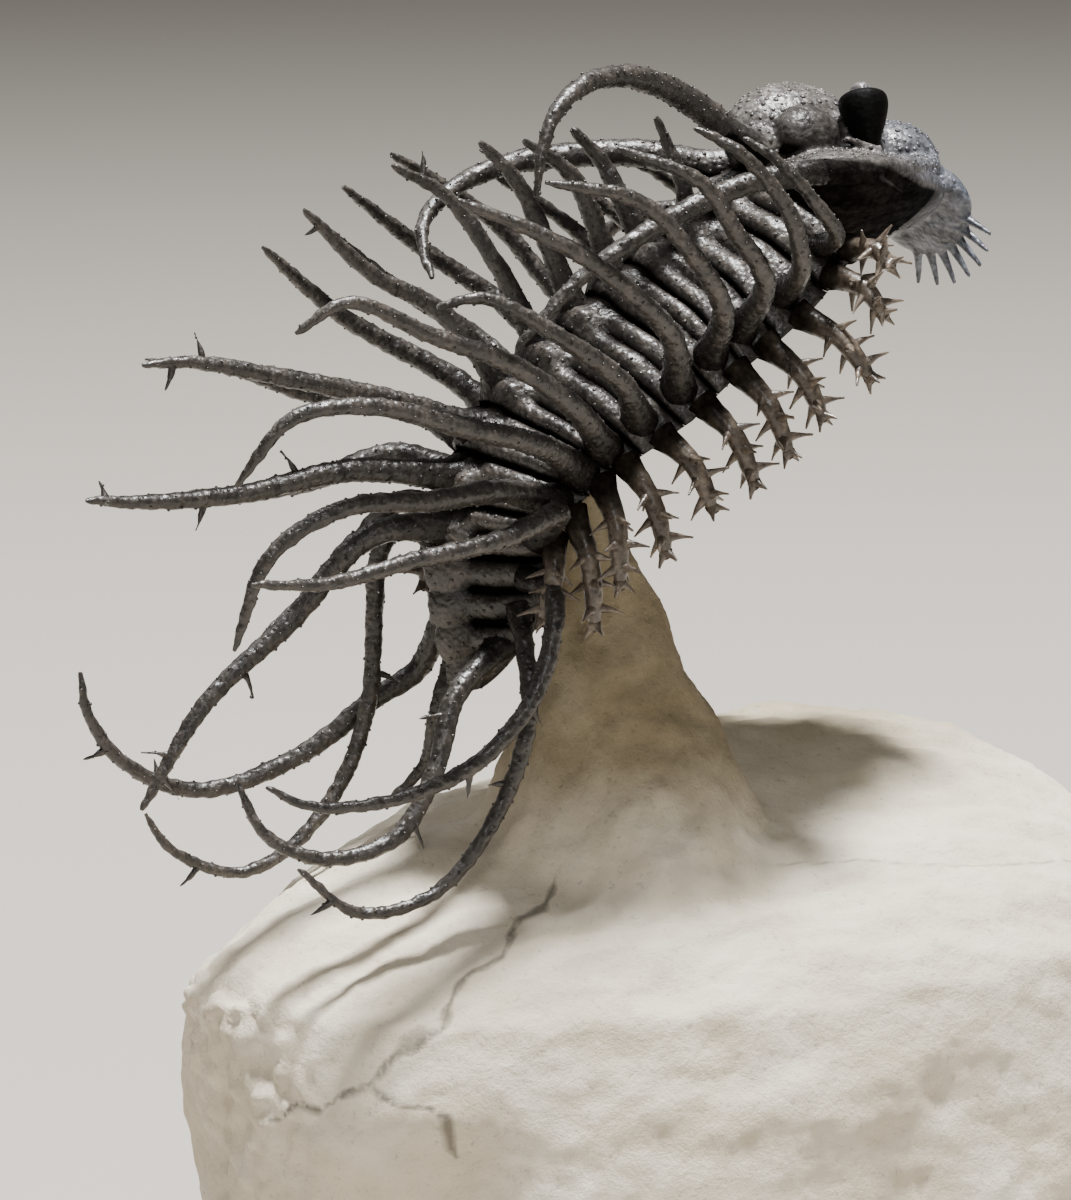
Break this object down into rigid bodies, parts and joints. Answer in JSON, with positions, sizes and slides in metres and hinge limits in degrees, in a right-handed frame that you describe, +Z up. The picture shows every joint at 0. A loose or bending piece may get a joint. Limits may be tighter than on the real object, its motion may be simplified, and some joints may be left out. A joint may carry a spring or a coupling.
{
  "type": "spiny trilobite fossil on a limestone block",
  "caption": "Spiny trilobite fossil freed from its stone, held in a long arch by a flared stalk of the pale limestone block it stands on, with a flat sawn base.",
  "frame": {"origin": "middle of the matrix block's flat sawn base, on the plane it rests on", "axes": "+Z up from the base, +X towards the animal's head along the block's length, +Y towards the animal's left side"},
  "size_m": [0.0942, 0.0523, 0.0885],
  "materials": {
    "fossil_stone": "semi-gloss",
    "eye_stone": "gloss",
    "limestone": "matt"
  },
  "bodies": {
    "root": {"thorax_segment_1": "fossil_stone", "thorax_segment_2": "fossil_stone", "thorax_segment_3": "fossil_stone", "thorax_segment_4": "fossil_stone", "thorax_segment_5": "fossil_stone", "thorax_segment_6": "fossil_stone", "thorax_segment_7": "fossil_stone", "thorax_segment_8": "fossil_stone", "thorax_segment_9": "fossil_stone", "thorax_segment_10": "fossil_stone", "tail_shield": "fossil_stone", "right_spine_1": "fossil_stone", "left_spine_1": "fossil_stone", "right_spine_2": "fossil_stone", "left_spine_2": "fossil_stone", "right_spine_3": "fossil_stone", "left_spine_3": "fossil_stone", "right_spine_4": "fossil_stone", "left_spine_4": "fossil_stone", "right_spine_5": "fossil_stone", "left_spine_5": "fossil_stone", "right_spine_6": "fossil_stone", "left_spine_6": "fossil_stone", "right_spine_7": "fossil_stone", "left_spine_7": "fossil_stone", "right_spine_8": "fossil_stone", "left_spine_8": "fossil_stone", "right_spine_9": "fossil_stone", "left_spine_9": "fossil_stone", "right_spine_10": "fossil_stone", "left_spine_10": "fossil_stone", "back_spine_2": "fossil_stone", "back_spine_3": "fossil_stone", "back_spine_4": "fossil_stone", "back_spine_5": "fossil_stone", "back_spine_6": "fossil_stone", "back_spine_7": "fossil_stone", "back_spine_8": "fossil_stone", "back_spine_9": "fossil_stone", "back_spine_10": "fossil_stone", "tail_spine_right_front": "fossil_stone", "tail_spine_right_middle": "fossil_stone", "tail_spine_right_rear": "fossil_stone", "tail_spine_left_front": "fossil_stone", "tail_spine_left_middle": "fossil_stone", "tail_spine_left_rear": "fossil_stone", "right_horn": "fossil_stone", "right_cheek_spine": "fossil_stone", "left_horn": "fossil_stone", "left_cheek_spine": "fossil_stone", "right_eye": "eye_stone", "left_eye": "eye_stone", "head_shield": "fossil_stone", "limestone_block": "limestone"}
  },
  "joints": []
}
